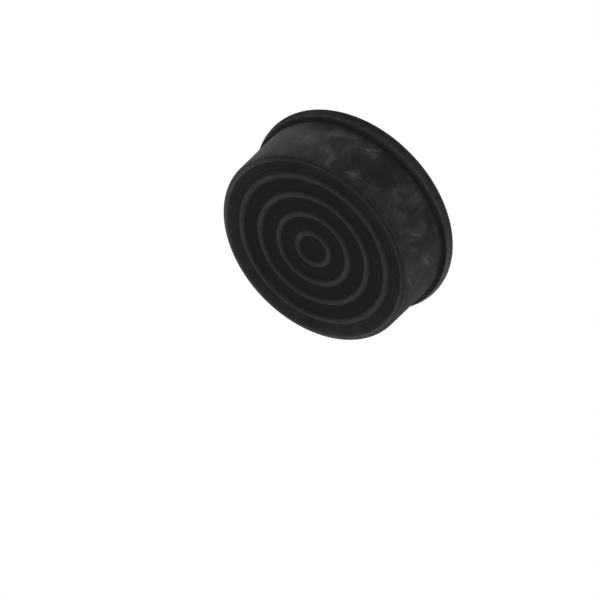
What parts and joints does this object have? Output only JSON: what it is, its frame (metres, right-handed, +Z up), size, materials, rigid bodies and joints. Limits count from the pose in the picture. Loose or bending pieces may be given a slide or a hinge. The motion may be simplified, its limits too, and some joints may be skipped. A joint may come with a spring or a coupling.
{
  "type": "rubber foot",
  "caption": "Round moulded rubber foot: a shallow cap with a ringed tread and a stepped lip, pressed over the end of a tube leg to stop slipping and scratching.",
  "frame": {"origin": "centre of the tread, on the plane of the ridge crests that it stands on", "axes": "+Z up along the axis, from the tread to the open mouth of the socket; the foot is round, so X and Y are free"},
  "size_m": [0.043, 0.043, 0.0145],
  "materials": {
    "black_rubber": "matte black moulded rubber with a faint grey bloom"
  },
  "bodies": {
    "root": {"rubber_foot": "black_rubber"}
  },
  "joints": []
}
